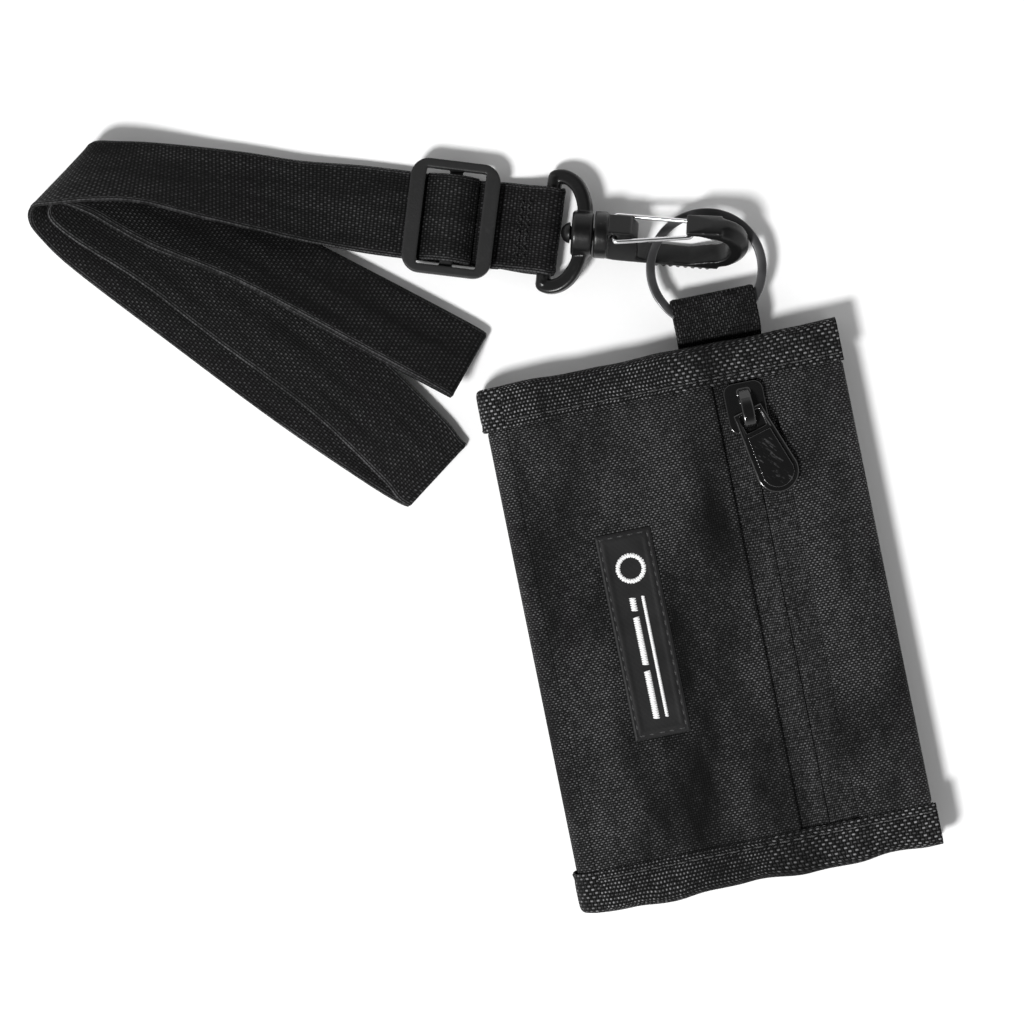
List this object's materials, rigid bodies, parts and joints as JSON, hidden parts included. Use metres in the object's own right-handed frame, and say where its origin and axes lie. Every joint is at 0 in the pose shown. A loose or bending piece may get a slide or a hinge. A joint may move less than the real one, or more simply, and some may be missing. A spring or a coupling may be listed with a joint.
{
  "type": "zippered pouch",
  "caption": "Bifold zippered fabric pouch with bound ends, sewn tab, split ring, swivel snap hook and adjustable folded webbing lanyard.",
  "frame": {"origin": "centre of the closed pouch's back face, on the surface it lies on", "axes": "+X from the spine to the opening edge, +Y along the spine to the sewn tab, +Z out through the front face with the zip"},
  "size_m": [0.1772, 0.1968, 0.016],
  "materials": {
    "shell_fabric": "black plain-weave polyester, dull",
    "binding_tape": "black coarse-weave binding tape, dull",
    "lining_fabric": "black lining cloth, dull",
    "stiffener_board": "plastic stiffening sheet, matte",
    "closure_tape": "hook-and-loop tape, dull",
    "webbing": "black woven webbing, slight sheen",
    "zip_tape": "woven zip tape, dull",
    "zip_coil": "nylon coil, satin",
    "label": null,
    "slider_metal": "gloss black enamel on zinc",
    "ring_steel": "dark gunmetal plating",
    "hook_plastic": "black acetal, satin",
    "gate_steel": "bright spring wire"
  },
  "bodies": {
    "pouch": {"back_panel": "shell_fabric", "back_stiffener": "stiffener_board", "back_lining": "lining_fabric", "card_pocket_rear": "lining_fabric", "card_pocket_front": "lining_fabric", "loop_strip": "closure_tape", "back_top_binding": "binding_tape", "back_bottom_binding": "binding_tape", "tab_loop": "webbing"},
    "cover": {"front_panel": "shell_fabric", "front_lining": "lining_fabric", "slip_pocket": "lining_fabric", "coin_pocket_lining": "lining_fabric", "hook_strip": "closure_tape", "zip_tape_left": "zip_tape", "zip_tape_right": "zip_tape", "zip_coil_left": "zip_coil", "zip_coil_right": "zip_coil", "label_patch": "label", "front_top_binding": "binding_tape", "front_bottom_binding": "binding_tape"},
    "slider": {"slider_body": "slider_metal"},
    "pull": {"pull_tab": "slider_metal"},
    "ring": {"split_ring": "ring_steel"},
    "swivel_loop": {"d_loop": "hook_plastic"},
    "hook": {"hook_body": "hook_plastic", "swivel_rivet": "hook_plastic"},
    "gate": {"gate_wire": "gate_steel"},
    "lanyard": {"strap_webbing": "webbing", "strap_bartack": "webbing"},
    "adjuster": {"triglide": "hook_plastic", "adjuster_web": "webbing"}
  },
  "joints": [
    {"name": "cover_fold", "type": "hinge", "parent": "pouch", "child": "cover", "pos_m": [-0.0415, 0, 0.00465], "axis": [0, -1, 0], "range_deg": [0, 100]},
    {"name": "zip_slide", "type": "slide", "parent": "cover", "child": "slider", "axis": [0, -1, 0], "range_m": [0, 0.088]},
    {"name": "pull_swing", "type": "hinge", "parent": "slider", "child": "pull", "pos_m": [0.0176, 0.0444, 0.01095], "axis": [-0.9659, -0.2588, 0], "range_deg": [0, 165]},
    {"name": "ring_turn", "type": "hinge", "parent": "pouch", "child": "ring", "pos_m": [0.0154, 0.0787, 0.0055], "axis": [0, 0, 1], "continuous": true},
    {"name": "lanyard_swing", "type": "hinge", "parent": "pouch", "child": "swivel_loop", "pos_m": [0.0154, 0.0787, 0.0055], "axis": [0, 0, 1], "range_deg": [-40, 0]},
    {"name": "hook_swivel", "type": "hinge", "parent": "swivel_loop", "child": "hook", "pos_m": [-0.01105, 0.0922, 0.00605], "axis": [0.9633, -0.2671, 0.0279], "range_deg": [-3, 30]},
    {"name": "gate_open", "type": "hinge", "parent": "hook", "child": "gate", "pos_m": [-0.00378, 0.09169, 0.00841], "axis": [-0.2366, -0.7947, 0.559], "range_deg": [-5.5, 0], "stiffness_Nm_per_rad": 0.02},
    {"name": "strap_lift", "type": "hinge", "parent": "swivel_loop", "child": "lanyard", "pos_m": [-0.0183, 0.0946, 0.0032], "axis": [-0.3156, -0.9489, 0], "range_deg": [-80, 0]},
    {"name": "adjuster_slide", "type": "slide", "parent": "lanyard", "child": "adjuster", "axis": [-0.9489, 0.3156, 0], "range_m": [-0.004, 0.008]}
  ]
}
